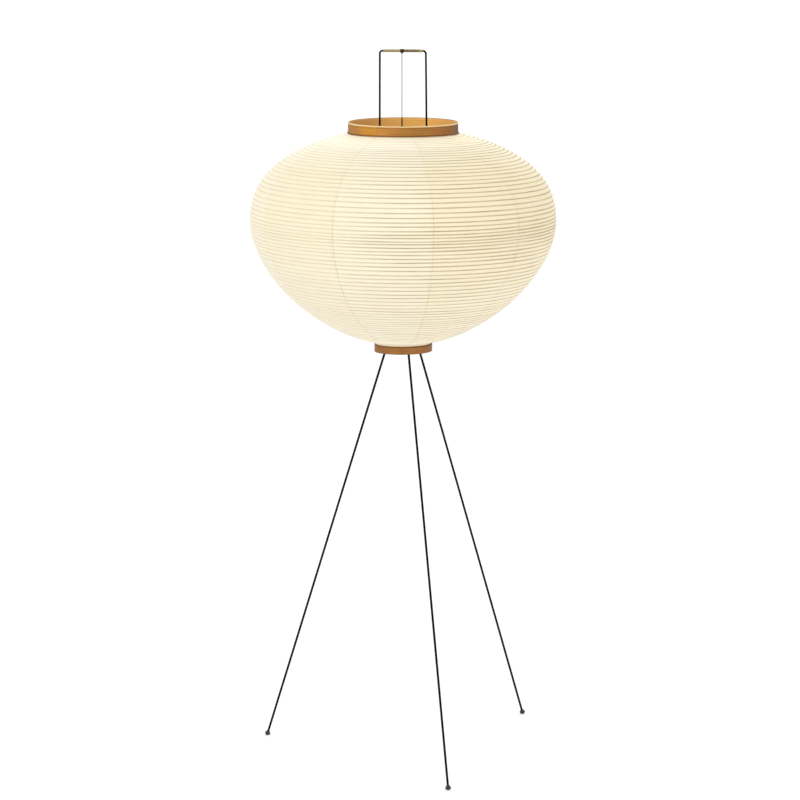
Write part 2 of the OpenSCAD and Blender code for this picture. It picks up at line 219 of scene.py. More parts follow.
class Look:
    """A procedural material around one Principled shader."""

    def __init__(self, name, colour=None, **sockets):
        self.m = bpy.data.materials.new(name)
        self.m.use_nodes = True
        self.t = self.m.node_tree
        self.t.nodes.clear()
        self.out = self.t.nodes.new("ShaderNodeOutputMaterial")
        self.p = self.t.nodes.new("ShaderNodeBsdfPrincipled")
        self.t.links.new(self.p.outputs["BSDF"], self.out.inputs["Surface"])
        if colour:
            self.p.inputs["Base Color"].default_value = (*colour, 1.0)
        for key, value in sockets.items():
            self.p.inputs[key.replace("_", " ")].default_value = value

    def node(self, kind, **props):
        n = self.t.nodes.new(kind)
        for key, value in props.items():
            setattr(n, key, value)
        return n

    def put(self, socket, value):
        if isinstance(value, bpy.types.NodeSocket):
            self.t.links.new(value, socket)
        else:
            socket.default_value = value

    def coords(self, uv=None):
        if uv:
            return self.node("ShaderNodeUVMap", uv_map=uv).outputs["UV"]
        return self.node("ShaderNodeTexCoord").outputs["Object"]

    def rest(self, name):
        return self.node("ShaderNodeAttribute", attribute_name=name).outputs["Vector"]

    def stretch(self, vector, scale, place=(0, 0, 0), turn=(0, 0, 0)):
        n = self.node("ShaderNodeMapping")
        self.put(n.inputs["Vector"], vector)
        n.inputs["Scale"].default_value = scale
        n.inputs["Location"].default_value = place
        n.inputs["Rotation"].default_value = turn
        return n.outputs["Vector"]

    def noise(self, vector, scale=1.0, detail=3.0, rough=0.5, bend=0.0):
        n = self.node("ShaderNodeTexNoise")
        self.put(n.inputs["Vector"], vector)
        n.inputs["Scale"].default_value = scale
        n.inputs["Detail"].default_value = detail
        n.inputs["Roughness"].default_value = rough
        n.inputs["Distortion"].default_value = bend
        return n.outputs["Fac"]

    def cells(self, vector, scale=1.0, feature="F1", jitter=1.0):
        n = self.node("ShaderNodeTexVoronoi", feature=feature)
        self.put(n.inputs["Vector"], vector)
        n.inputs["Scale"].default_value = scale
        n.inputs["Randomness"].default_value = jitter
        return n.outputs["Distance"]

    def wave(self, vector, scale, bend=0.0, detail=2.0, axis="X", kind="BANDS"):
        n = self.node("ShaderNodeTexWave", wave_type=kind)
        if kind == "BANDS":
            n.bands_direction = axis
        self.put(n.inputs["Vector"], vector)
        n.inputs["Scale"].default_value = scale
        n.inputs["Distortion"].default_value = bend
        n.inputs["Detail"].default_value = detail
        return n.outputs["Fac"]

    def split(self, vector):
        n = self.node("ShaderNodeSeparateXYZ")
        self.put(n.inputs[0], vector)
        return n.outputs

    def join(self, x, y, z):
        n = self.node("ShaderNodeCombineXYZ")
        for i, v in enumerate((x, y, z)):
            self.put(n.inputs[i], v)
        return n.outputs[0]

    def do(self, op, a, b=None, c=None, clamp=False):
        n = self.node("ShaderNodeMath", operation=op, use_clamp=clamp)
        for i, v in enumerate((a, b, c)):
            if v is not None:
                self.put(n.inputs[i], v)
        return n.outputs[0]

    def fit(self, value, low, high, to_low=0.0, to_high=1.0, kind="LINEAR"):
        n = self.node("ShaderNodeMapRange", interpolation_type=kind, clamp=True)
        self.put(n.inputs["Value"], value)
        for key, v in (("From Min", low), ("From Max", high), ("To Min", to_low), ("To Max", to_high)):
            n.inputs[key].default_value = v
        return n.outputs["Result"]

    def ramp(self, value, stops, kind="LINEAR"):
        n = self.node("ShaderNodeValToRGB")
        ramp = n.color_ramp
        ramp.interpolation = kind
        while len(ramp.elements) < len(stops):
            ramp.elements.new(0.5)
        for e, (at, colour) in zip(ramp.elements, stops):
            e.position = at
            e.color = (*colour, 1.0) if len(colour) == 3 else colour
        self.put(n.inputs["Fac"], value)
        return n.outputs["Color"]

    def mix(self, factor, a, b, kind="MIX"):
        n = self.node("ShaderNodeMix", data_type="RGBA", blend_type=kind, clamp_factor=True)
        sockets = [s for s in n.inputs if s.type == "RGBA"]
        self.put(n.inputs[0], factor)
        for s, v in zip(sockets, (a, b)):
            self.put(s, v if isinstance(v, bpy.types.NodeSocket) else (*v, 1.0))
        return [s for s in n.outputs if s.type == "RGBA"][0]

    def bump(self, height, strength=0.3, depth=0.0002, normal=None):
        n = self.node("ShaderNodeBump")
        n.inputs["Strength"].default_value = strength
        n.inputs["Distance"].default_value = depth
        self.put(n.inputs["Height"], height)
        if normal is not None:
            self.put(n.inputs["Normal"], normal)
        return n.outputs["Normal"]

    def set(self, **sockets):
        for key, value in sockets.items():
            self.put(self.p.inputs[key.replace("_", " ")], value)
        return self


def wear(obj, look):
    obj.data.materials.clear()
    obj.data.materials.append(look.m)
    return obj


def finish_piece(obj, look, body, replaces=()):
    wear(obj, look)
    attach(obj, body)
    if replaces:
        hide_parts(*replaces)
    return obj


def lin(r, g, b):
    """A colour seen as 0 to 255, as the shader takes it."""
    return tuple(((c / 255.0 + 0.055) / 1.055) ** 2.4 if c > 10.3 else c / 255.0 / 12.92 for c in (r, g, b))


# ---------------------------------------------------------------- floor

floor_profile = [(-9.0, 0.0), (3.6, 0.0)]
for k in range(1, 13):
    a = math.radians(90 * k / 12)
    floor_profile.append((3.6 + 1.6 * math.sin(a), 1.6 - 1.6 * math.cos(a)))
floor_profile.append((5.2, 7.0))
floor_verts, floor_faces = [], []
for y, z in floor_profile:
    for k in range(9):
        floor_verts.append(((-9 + 18 * k / 8) / MM, y / MM, z / MM))
for i in range(len(floor_profile) - 1):
    for k in range(8):
        floor_faces.append((i * 9 + k, i * 9 + k + 1, (i + 1) * 9 + k + 1, (i + 1) * 9 + k))
floor = build("studio_floor", floor_verts, floor_faces)
look_floor = Look("studio_floor_paper", Roughness=0.9)
grain = look_floor.noise(look_floor.stretch(look_floor.coords(), (40, 40, 40)), 1.0, 4, 0.6)
rise = look_floor.fit(look_floor.split(look_floor.coords())[2], 0.0, 1.2)
look_floor.set(Base_Color=look_floor.mix(rise, look_floor.mix(grain, (0.69, 0.69, 0.725), (0.71, 0.71, 0.745)),
                                         look_floor.mix(grain, (0.855, 0.86, 0.89), (0.875, 0.88, 0.91))),
               Normal=look_floor.bump(grain, 0.08, 0.0005))
look_floor.p.inputs["Emission Color"].default_value = (0.94, 0.965, 1.0, 1.0)
look_floor.p.inputs["Emission Strength"].default_value = 0.345
wear(floor, look_floor)


# ---------------------------------------------------------------- materials

def black_wire(name, tone):
    """Satin black paint on drawn steel wire: faint drawing lines along it, slightly uneven gloss, a few rubbed specks."""
    k = Look(name, Metallic=0.0)
    k.p.inputs["Specular IOR Level"].default_value = 0.07
    uv = k.coords("UVMap")
    lines = k.noise(k.stretch(uv, (40, 2200, 1)), 1.0, 3, 0.6)
    orange_peel = k.noise(k.stretch(uv, (900, 900, 1)), 1.0, 2, 0.5)
    cloud = k.noise(k.stretch(uv, (30, 90, 1)), 1.0, 3, 0.55)
    rub = k.fit(k.noise(k.stretch(uv, (260, 420, 1), (3, 1, 0)), 1.0, 5, 0.65), 0.68, 0.76)
    base = k.mix(cloud, tuple(c * 0.75 for c in tone), tuple(c * 1.3 for c in tone))
    base = k.mix(k.do("MULTIPLY", rub, 0.4), base, (0.04, 0.039, 0.038))
    k.set(Base_Color=base, Roughness=k.fit(k.do("ADD", k.do("MULTIPLY", cloud, 0.7), k.do("MULTIPLY", lines, 0.3)), 0.3, 0.7, 0.32, 0.52))
    k.set(Normal=k.bump(k.do("ADD", k.do("MULTIPLY", lines, 0.5), k.do("MULTIPLY", orange_peel, 0.5)), 0.25, 0.00006))
    return k


look_leg = black_wire("black_leg_wire", (0.0042, 0.0042, 0.0045))
look_frame = black_wire("black_frame_wire", (0.0045, 0.0045, 0.0048))
look_hanger = black_wire("black_hanger_wire", (0.012, 0.0105, 0.0095))


def rubber():
    k = Look("foot_cap_rubber", Metallic=0.0)
    c = k.coords()
    cloud = k.noise(k.stretch(c, (260, 260, 260)), 1.0, 4, 0.6)
    fine = k.noise(k.stretch(c, (2600, 2600, 2600)), 1.0, 3, 0.6)
    z = k.split(c)[2]
    dusty = k.do("MULTIPLY", k.fit(z, 0.0, 0.0032, 1.0, 0.0), k.fit(cloud, 0.35, 0.7, 0.25, 1.0))
    k.set(Base_Color=k.mix(dusty, k.mix(cloud, (0.013, 0.013, 0.0135), (0.024, 0.024, 0.025)), (0.05, 0.048, 0.045)),
          Roughness=k.fit(cloud, 0.3, 0.7, 0.34, 0.5), Normal=k.bump(fine, 0.3, 0.00005))
    return k


look_foot = rubber()


def wood(name, pale, mid, dark, patch=None, ends=None, inside=None, rim=None, painted_shading=None, inner_painted_shading=None):
    """Clear-finished bentwood with its grain running round the hoop. UVs are metres round and across."""
    k = Look(name, Metallic=0.0)
    k.p.inputs["Specular IOR Level"].default_value = 0.12
    uv = k.coords("UVMap")
    soaked_and_shaded_edge = tuple(c * 0.42 for c in dark)
    if painted_shading:
        length, stops, gain = painted_shading
        round_it = k.do("FRACT", k.do("DIVIDE", k.split(uv)[0], length))
        pale, mid, dark = (tuple(c * gain for c in q) for q in (pale, mid, dark))
        stops = [(at, tuple(c / gain for c in q)) for at, q in stops]
    broad = k.noise(k.stretch(uv, (7, 60, 1)), 1.0, 3, 0.55, 0.4)
    grain = k.noise(k.stretch(uv, (16, 620, 1)), 1.0, 5, 0.6, 0.35)
    bands = k.wave(k.stretch(uv, (1.3, 46, 1)), 2.2, 5.5, 3.0, axis="Y")
    pores = k.fit(k.noise(k.stretch(uv, (110, 3600, 1)), 1.0, 3, 0.7), 0.6, 0.72)
    flecks = k.fit(k.noise(k.stretch(uv, (45, 1500, 1), (5, 2, 0)), 1.0, 2, 0.5), 0.62, 0.7)
    figure = k.do("ADD", k.do("MULTIPLY", grain, 0.55), k.do("ADD", k.do("MULTIPLY", broad, 0.25), k.do("MULTIPLY", bands, 0.2)))
    colour = k.ramp(figure, [(0.28, dark), (0.5, mid), (0.74, pale)])
    colour = k.mix(k.do("MULTIPLY", pores, 0.42), colour, tuple(c * 0.45 for c in dark))
    colour = k.mix(k.do("MULTIPLY", flecks, 0.3), colour, tuple(min(1, c * 1.25) for c in pale))
    if painted_shading:
        # painted light and shade round the hoop: lighter on the left towards the light, darker on the right, with a
        # painted highlight and a painted shadow band where the stops put them
        colour = k.mix(1.0, colour, k.ramp(round_it, stops), "MULTIPLY")
    if inside:
        # the inner face is painted lighter and yellower than the outer one: painted light falling on the inside
        inner_start, lit_inner, lit_inner_dark = inside
        inner_colour = k.mix(k.fit(figure, 0.3, 0.72), lit_inner_dark, lit_inner)
        # painted light and shade round the inner face: lighter at the right of the back, where the light from the left
        # falls, darker at the left
        if inner_painted_shading:
            inner_colour = k.mix(1.0, inner_colour, k.ramp(round_it, inner_painted_shading), "MULTIPLY")
        colour = k.mix(k.fit(k.split(uv)[1], inner_start, inner_start + 0.0004), colour, inner_colour)
    if patch:
        place = k.split(uv)[0]
        low, high, gold = patch
        inside = k.do("MULTIPLY", k.fit(place, low, low + 0.016, kind="SMOOTHSTEP"), k.fit(place, high - 0.0006, high, 1.0, 0.0))
        side = k.split(uv)[1]
        inside = k.do("MULTIPLY", inside, k.fit(side, *patch_side[name]))
        colour = k.mix(k.do("MULTIPLY", inside, 0.5), colour, k.mix(grain, tuple(c * 0.82 for c in gold), gold))
    if ends:
        # the cut edges are darker: partly finish soaked into the end grain, partly painted shade at the lip and along
        # the edge beside the paper
        z = k.split(k.coords())[2]
        for at, width, depth, *outside in ends:
            near = k.fit(k.do("ABSOLUTE", k.do("SUBTRACT", z, at)), 0.0, width, 1.0, 0.0, kind="SMOOTHSTEP")
            if outside:
                near = k.do("MULTIPLY", near, k.fit(k.split(uv)[1], outside[0], outside[0] + 0.0004, 1.0, 0.0))
            uneven = k.fit(broad, 0.3, 0.7, 0.8, 1.0)
            colour = k.mix(k.do("MULTIPLY", k.do("MULTIPLY", near, uneven), depth), colour, soaked_and_shaded_edge)
    if rim:
        # the rounded upper edge is painted pale at the front and barely at the back: a painted highlight where the top
        # edge catches the light
        at, width, rim_highlight_colour = rim
        top = k.fit(k.split(k.coords())[2], at - width, at - 0.5 * width)
        front = k.fit(k.do("ABSOLUTE", k.do("SUBTRACT", round_it, 0.5)), 0.18, 0.3, 0.12, 1.0)
        colour = k.mix(k.do("MULTIPLY", k.do("MULTIPLY", top, front), k.fit(grain, 0.3, 0.7, 0.85, 1.0)), colour, rim_highlight_colour)
    k.set(Base_Color=colour, Roughness=k.fit(k.do("ADD", k.do("MULTIPLY", grain, 0.6), k.do("MULTIPLY", broad, 0.4)), 0.3, 0.7, 0.4, 0.6))
    height = k.do("SUBTRACT", k.do("MULTIPLY", grain, 0.6), k.do("MULTIPLY", pores, 0.7))
    k.set(Normal=k.bump(height, 0.35, 0.00012))
    return k


def metal(name, base, tint, rough=(0.25, 0.42), turned=False, metallic=1.0):
    """Machined or plated metal: fine tool marks, blotches of tarnish, uneven gloss."""
    k = Look(name, Metallic=metallic)
    c = k.coords()
    cloud = k.noise(k.stretch(c, (180, 180, 180)), 1.0, 4, 0.6)
    fine = k.noise(k.stretch(c, (1800, 1800, 1800)), 1.0, 4, 0.6)
    if turned:
        x, y, z = k.split(c)
        r = k.do("SQRT", k.do("ADD", k.do("MULTIPLY", x, x), k.do("MULTIPLY", y, y)))
        marks = k.noise(k.join(k.do("MULTIPLY", r, 5200.0), k.do("MULTIPLY", z, 5200.0), 0.0), 1.0, 2, 0.5)
    else:
        marks = k.noise(k.stretch(c, (300, 5200, 5200)), 1.0, 2, 0.5)
    k.set(Base_Color=k.mix(k.fit(cloud, 0.35, 0.7), base, tint),
          Roughness=k.fit(k.do("ADD", k.do("MULTIPLY", cloud, 0.6), k.do("MULTIPLY", marks, 0.4)), 0.3, 0.7, *rough),
          Normal=k.bump(k.do("ADD", k.do("MULTIPLY", marks, 0.7), k.do("MULTIPLY", fine, 0.3)), 0.3, 0.00004))
    return k


look_hub = metal("hub_black_enamel", (0.02, 0.02, 0.022), (0.034, 0.034, 0.037), (0.3, 0.5), True, 0.0)
look_spider = metal("spider_black_steel", (0.022, 0.022, 0.024), (0.05, 0.048, 0.046), (0.38, 0.6), False, 0.3)
look_zinc = metal("zinc_plate", (0.56, 0.55, 0.52), (0.44, 0.43, 0.39), (0.24, 0.45), True)
look_brass = metal("drawn_brass", (0.74, 0.54, 0.25), (0.56, 0.38, 0.16), (0.22, 0.42), True)
look_shell = metal("bulb_cap_nickel", (0.74, 0.73, 0.71), (0.58, 0.57, 0.55), (0.18, 0.34), True)


def plastic(name, base, rough=(0.28, 0.42)):
    k = Look(name, Metallic=0.0)
    c = k.coords()
    cloud = k.noise(k.stretch(c, (120, 120, 120)), 1.0, 4, 0.55)
    pebble = k.noise(k.stretch(c, (2400, 2400, 2400)), 1.0, 3, 0.6)
    dust = k.fit(k.noise(k.stretch(c, (700, 700, 700), (1, 2, 3)), 1.0, 5, 0.7), 0.62, 0.75)
    k.set(Base_Color=k.mix(k.do("MULTIPLY", dust, 0.35), k.mix(cloud, tuple(x * 0.8 for x in base), tuple(x * 1.25 for x in base)), tuple(min(1, x * 2 + 0.05) for x in base)),
          Roughness=k.fit(cloud, 0.3, 0.7, *rough), Normal=k.bump(pebble, 0.18, 0.00004))
    return k


look_black_plastic = plastic("black_moulded_plastic", (0.02, 0.02, 0.02))
look_core = plastic("glazed_lamp_ceramic", (0.8, 0.77, 0.69), (0.2, 0.4))
look_insulator = plastic("black_vitrite", (0.015, 0.015, 0.017), (0.12, 0.25))


def opal():
    k = Look("opal_bulb_glass", Metallic=0.0)
    c = k.coords()
    cloud = k.noise(k.stretch(c, (60, 60, 60)), 1.0, 4, 0.55)
    speck = k.noise(k.stretch(c, (900, 900, 900)), 1.0, 3, 0.6)
    k.set(Base_Color=k.mix(cloud, (0.93, 0.91, 0.86), (0.97, 0.955, 0.91)),
          Roughness=k.fit(speck, 0.3, 0.7, 0.12, 0.26), Normal=k.bump(speck, 0.08, 0.00003),
          Emission_Color=k.mix(cloud, (1.0, 0.86, 0.62), (1.0, 0.9, 0.7)))
    k.p.inputs["Emission Strength"].default_value = 0.6
    k.p.inputs["Coat Weight"].default_value = 0.5
    k.p.inputs["Coat Roughness"].default_value = 0.05
    return k


look_bulb = opal()


def cane(name):
    """Split cane skin: long fibres, paler ridges, darker edges; the right half is stained browner."""
    k = Look(name, Metallic=0.0)
    uv = k.coords("UVMap")
    fibres = k.noise(k.stretch(uv, (60, 4200, 1)), 1.0, 4, 0.6)
    cloud = k.noise(k.stretch(uv, (55, 120, 1)), 1.0, 3, 0.6)
    x, y, z = k.split(k.coords())
    tan = k.ramp(k.do("ADD", k.do("MULTIPLY", fibres, 0.6), k.do("MULTIPLY", cloud, 0.4)),
                 [(0.3, (0.34, 0.27, 0.13)), (0.52, (0.5, 0.42, 0.23)), (0.75, (0.66, 0.57, 0.36))])
    brown = k.ramp(k.do("ADD", k.do("MULTIPLY", fibres, 0.5), k.do("MULTIPLY", cloud, 0.5)),
                   [(0.3, (0.13, 0.09, 0.045)), (0.52, (0.24, 0.175, 0.1)), (0.75, (0.42, 0.34, 0.21))])
    stained = k.do("MULTIPLY", k.fit(x, 0.0005, 0.002), k.fit(x, 0.0265, 0.0285, 1.0, 0.0))
    colour = k.mix(stained, tan, brown)
    # darker underneath: painted shade under the bar
    painted_underside_shade = k.do("MULTIPLY", k.fit(z, 1.2325, 1.2362, 1.0, 0.0, kind="SMOOTHSTEP"), k.fit(cloud, 0.3, 0.7, 0.7, 1.0))
    colour = k.mix(k.do("MULTIPLY", painted_underside_shade, 0.6), colour, (0.15, 0.115, 0.05))
    k.set(Base_Color=colour, Roughness=k.fit(cloud, 0.3, 0.7, 0.36, 0.55), Normal=k.bump(fibres, 0.4, 0.00008))
    k.p.inputs["Specular IOR Level"].default_value = 0.3
    return k


look_cane = cane("split_cane")


def thread():
    k = Look("waxed_thread", Metallic=0.0)
    k.p.inputs["Specular IOR Level"].default_value = 0.15
    uv = k.coords("UVMap")
    u, v, _ = k.split(uv)
    ply = k.do("SINE", k.do("ADD", k.do("MULTIPLY", u, 5200.0), k.do("MULTIPLY", v, 4400.0)))
    fuzz = k.noise(k.stretch(uv, (900, 5200, 1)), 1.0, 3, 0.6)
    k.set(Base_Color=k.mix(k.fit(ply, -1.0, 1.0), k.mix(fuzz, (0.012, 0.007, 0.003), (0.03, 0.018, 0.008)), k.mix(fuzz, (0.04, 0.024, 0.01), (0.085, 0.055, 0.026))),
          Roughness=k.fit(fuzz, 0.3, 0.7, 0.5, 0.75), Normal=k.bump(ply, 0.6, 0.00015))
    return k


look_thread = thread()


def bamboo():
    k = Look("split_bamboo", Metallic=0.0)
    uv = k.coords("UVMap")
    fibres = k.noise(k.stretch(uv, (45, 5200, 1)), 1.0, 4, 0.6)
    cloud = k.noise(k.stretch(uv, (9, 40, 1)), 1.0, 3, 0.6)
    u = k.split(uv)[0]
    joint = k.fit(k.do("ABSOLUTE", k.do("SUBTRACT", k.do("FRACT", k.do("DIVIDE", u, 0.37)), 0.5)), 0.0, 0.012, 1.0, 0.0)
    colour = k.ramp(k.do("ADD", k.do("MULTIPLY", fibres, 0.5), k.do("MULTIPLY", cloud, 0.5)),
                    [(0.3, (0.42, 0.3, 0.15)), (0.52, (0.58, 0.45, 0.26)), (0.75, (0.7, 0.58, 0.37))])
    colour = k.mix(k.do("MULTIPLY", joint, 0.6), colour, (0.2, 0.12, 0.05))
    k.set(Base_Color=colour, Roughness=k.fit(cloud, 0.3, 0.7, 0.45, 0.65), Normal=k.bump(fibres, 0.4, 0.0001))
    return k


look_bamboo = bamboo()


# ---------------------------------------------------------------- lantern shape, in millimetres

EQ, UP, DOWN = 942.8, 150.4, 213.5


def swell(s, n, m):
    return np.maximum(0.0, 1.0 - np.abs(s) ** n) ** (1.0 / m)


phi = np.radians(np.linspace(-90, 90, 6001))
sin_phi = np.sin(phi)
shape_z = EQ + np.where(phi >= 0, UP, DOWN) * sin_phi
shape_r = np.where(phi >= 0, 80 + 185.7 * swell(sin_phi, 2.33, 1.54), 44.3 + 221.4 * swell(sin_phi, 1.83, 1.49))
shape_s = np.concatenate([[0], np.cumsum(np.hypot(np.diff(shape_r), np.diff(shape_z)))])
half = len(phi) // 2
BOTTOM_LIP, TOP_LIP = 47.9, 93.4
S_BOTTOM = float(np.interp(BOTTOM_LIP, shape_r[:half], shape_s[:half]))
S_TOP = float(np.interp(-TOP_LIP, -shape_r[half:], shape_s[half:]))
TURNS = 71


def outline(s):
    """Radius, height and outward direction of the paper at arc length s."""
    r, z = np.interp(s, shape_s, shape_r), np.interp(s, shape_s, shape_z)
    e = 0.8
    dr = np.interp(s + e, shape_s, shape_r) - np.interp(s - e, shape_s, shape_r)
    dz = np.interp(s + e, shape_s, shape_z) - np.interp(s - e, shape_s, shape_z)
    size = np.maximum(np.hypot(dr, dz), 1e-9)
    return r, z, dz / size, -dr / size


# the rib's pitch: hand-wound, so it drifts a little, and it is tighter round the middle
fine_s = np.linspace(S_BOTTOM + 4, S_TOP - 4, 4001)
pitch = (8.45 - 2.25 * np.exp(-(((fine_s - 318) / 34) ** 2)) + 0.42 * np.sin(fine_s / 31 + 1.0)
         + 0.3 * np.sin(fine_s / 14.3 + 0.4) + 0.3 * np.sin(fine_s / 6.1 + 2.0))
turn_run = np.concatenate([[0], np.cumsum(0.5 * (1 / pitch[1:] + 1 / pitch[:-1]) * np.diff(fine_s))])
turn_run *= TURNS / turn_run[-1]
END_PITCH = 8.0


def s_of_turn(t):
    t = np.asarray(t, float)
    inner = np.interp(t, turn_run, fine_s)
    return np.where(t < 0, fine_s[0] + t * END_PITCH, np.where(t > TURNS, fine_s[-1] + (t - TURNS) * END_PITCH, inner))


wobble_a, wobble_b = smooth_noise(11), smooth_noise(23)


def rib_s(t, a):
    """Arc length of the winding at t turns from its start, where a is the clockwise angle from +X, in radians."""
    fade = np.clip(np.minimum(t + 0.5, TURNS + 0.5 - t) / 2.0, 0, 1)
    return s_of_turn(t) + fade * (0.42 * wobble_a(a, np.asarray(t) * 0.9) + 0.3 * wobble_b(a, np.asarray(t) * 2.1))


# gore seams, as bearings from the front; three of them are seen in front
seams = [-26.1, 11.0, 47.1]
rest_of = (360.0 - (seams[-1] - seams[0])) / 8.0
seams += [seams[2] + rest_of * k for k in range(1, 8)]
seams = sorted((90.0 - b) % 360.0 for b in seams)          # clockwise angles from +X
PER_GORE = 16
edges = seams + [seams[0] + 360.0]
columns = np.concatenate([np.linspace(edges[k], edges[k + 1], PER_GORE, endpoint=False) for k in range(10)])
columns = np.radians(columns)
N = len(columns)
column_end = np.concatenate([columns, [columns[0] + 2 * math.pi]])
K = 6
ROW0, ROW1 = -3 * K, (TURNS + 2) * K
J = ROW1 - ROW0 + 1

rows = np.arange(ROW0, ROW1 + 1)
T = rows[None, :] / K + column_end[:, None] / (2 * math.pi)       # turns, (N + 1, J)
A = np.repeat(column_end[:, None], J, 1)
S_raw = rib_s(T, A)
S = np.clip(S_raw, S_BOTTOM, S_TOP)
sag_shape = np.array([0.0, 0.36, 0.78, 0.95, 0.78, 0.36])[(rows % K)]
sag_noise = 0.85 + 0.3 * wobble_b(A * 1.0, T * 1.7)
tail = np.clip(np.minimum(S - S_BOTTOM, S_TOP - S) / 10.0, 0, 1)
sag = 1.08 * sag_shape[None, :] * np.clip(sag_noise, 0.45, 1.35) * tail
R0, Z0, NR, NZ = outline(S)
uneven = 0.28 * (smooth_noise(5)(A, S / 60.0) - 1.0) * tail
R_out = R0 + NR * (uneven - sag)
Z_out = Z0 + NZ * (uneven - sag)
PAPER = 0.36
R_in, Z_in = R_out - NR * PAPER, Z_out - NZ * PAPER

# point numbers: rows beyond an end all become that end's one ring
index = np.full((N, J), -1, int)


def place(a, r, z):
    return np.stack([r * np.cos(a), -r * np.sin(a), z], -1)


low_ring, high_ring = np.arange(N), np.arange(N) + N
points = [place(columns, np.full(N, BOTTOM_LIP), np.full(N, np.interp(S_BOTTOM, shape_s, shape_z))),
          place(columns, np.full(N, TOP_LIP), np.full(N, np.interp(S_TOP, shape_s, shape_z)))]
count = 2 * N
is_low, is_high = S_raw[:N] <= S_BOTTOM + 0.12, S_raw[:N] >= S_TOP - 0.12
free = ~is_low & ~is_high
index[is_low] = np.repeat(low_ring[:, None], J, 1)[is_low]
index[is_high] = np.repeat(high_ring[:, None], J, 1)[is_high]
index[free] = count + np.arange(free.sum())
outer_points = place(A[:N][free], R_out[:N][free], Z_out[:N][free])
inner_points = place(A[:N][free], R_in[:N][free], Z_in[:N][free])
points.append(outer_points)
outer = np.concatenate(points)
low_z, high_z = outer[0][2], outer[N][2]
inner = np.concatenate([place(columns, np.full(N, BOTTOM_LIP - PAPER), np.full(N, low_z - 0.1)),
                        place(columns, np.full(N, TOP_LIP - PAPER), np.full(N, high_z + 0.1)), inner_points])
M = len(outer)
index_end = np.full((N + 1, J), -1, int)
index_end[:N] = index
index_end[N, : J - K] = index[0, K:]
index_end[N, J - K:] = N  # first column of the upper ring

faces, uv_flat, uv_seam, uv_rib = [], [], [], []
S_end = np.clip(S_raw, S_BOTTOM, S_TOP)
gore_of = np.repeat(np.arange(10), PER_GORE)
gore_tone = [1.0, 0.93, 0.48, 0.74, 0.42, 0.3, 0.55, 0.35, 0.6, 0.5]
edges_rad = np.radians(edges)
for i in range(N):
    for q in range(J - 1):
        row = rows[q]
        corners = [(i, q), (i, q + 1), (i + 1, q + 1), (i + 1, q)]
        ids = [index_end[c] for c in corners]
        keep, seen = [], set()
        for c, v in zip(corners, ids):
            if v not in seen:
                keep.append((c, v))
                seen.add(v)
        if len(keep) < 3:
            continue
        faces.append([v for _, v in keep])
        g = gore_of[i]
        first_half = (i % PER_GORE) < PER_GORE / 2
        upper = (row % K) >= K / 2
        n = row // K + (1 if upper else 0)
        for (ii, jj), _ in keep:
            a, s, r = A[ii, jj], S_end[ii, jj], R_out[ii, jj]
            uv_flat.append(((a - 0.5 * (edges_rad[g] + edges_rad[g + 1])) * r * MM, s * MM))
            uv_seam.append(((a - (edges_rad[g] if first_half else edges_rad[g + 1])) * r * MM, (g + 0.5) / 10.0))
            turn = n + a / (2 * math.pi)
            if -0.001 <= turn <= TURNS + 0.001:
                away = s - S_raw[ii, n * K - ROW0]
            else:
                away = 9.0
            uv_rib.append((away, gore_tone[g]))

# the paper's edges, tucked into the collars
tuck = []
tuck_points = [outer]
extra_count = M
for ring, radius, heights in ((low_ring, BOTTOM_LIP, (low_z - 2.2, 724.5)), (high_ring, TOP_LIP, (high_z + 1.6, 1095.2))):
    previous = ring
    for h in heights:
        new = np.arange(extra_count, extra_count + N)
        tuck_points.append(place(columns, np.full(N, radius), np.full(N, h)))
        extra_count += N
        for i in range(N):
            i2 = (i + 1) % N
            up = ring is high_ring
            quad = [previous[i], new[i], new[i2], previous[i2]] if up else [new[i], previous[i], previous[i2], new[i2]]
            faces.append([int(v) for v in quad])
            uv_flat += [(0.0, 0.0)] * 4
            uv_seam += [(0.05, 0.5)] * 4
            uv_rib += [(9.0, 0.5)] * 4
        previous = new
    tuck.append((ring, previous))
outer_all = np.concatenate(tuck_points)
# the inner face: the same net, set in by the thickness of the paper
inner_tuck = [inner]
for ring, radius, heights in ((low_ring, BOTTOM_LIP - PAPER, (low_z - 2.2, 724.5)), (high_ring, TOP_LIP - PAPER, (high_z + 1.6, 1095.2))):
    for h in heights:
        inner_tuck.append(place(columns, np.full(N, radius), np.full(N, h)))
inner_all = np.concatenate(inner_tuck)
offset = len(outer_all)
inner_faces = [[v + offset for v in reversed(f)] for f in faces]
start = 0
inner_flat, inner_seam, inner_rib = [], [], []
for f in faces:
    k = len(f)
    inner_flat += uv_flat[start:start + k][::-1]
    inner_seam += [(across, strip + 2.0) for across, strip in uv_seam[start:start + k][::-1]]   # marks the inner face
    inner_rib += uv_rib[start:start + k][::-1]
    start += k
rim_faces = []
for which, (ring, last) in enumerate(tuck):
    for i in range(N):
        i2 = (i + 1) % N
        quad = [int(last[i]), int(last[i] + offset), int(last[i2] + offset), int(last[i2])]
        rim_faces.append(quad if which == 1 else quad[::-1])
all_faces = faces + inner_faces + rim_faces
all_flat = uv_flat + inner_flat + [(0.0, 0.0)] * (4 * len(rim_faces))
all_seam = uv_seam + inner_seam + [(0.05, 0.5)] * (4 * len(rim_faces))
all_rib = uv_rib + inner_rib + [(9.0, 0.5)] * (4 * len(rim_faces))
all_points = np.concatenate([outer_all, inner_all])
paper = build("lantern_paper", all_points, all_faces, all_flat, {"seam": all_seam, "rib": all_rib})
rest = paper.data.attributes.new("rest", "FLOAT_VECTOR", "POINT")
rest.data.foreach_set("vector", (all_points * MM).astype(np.float32).ravel())


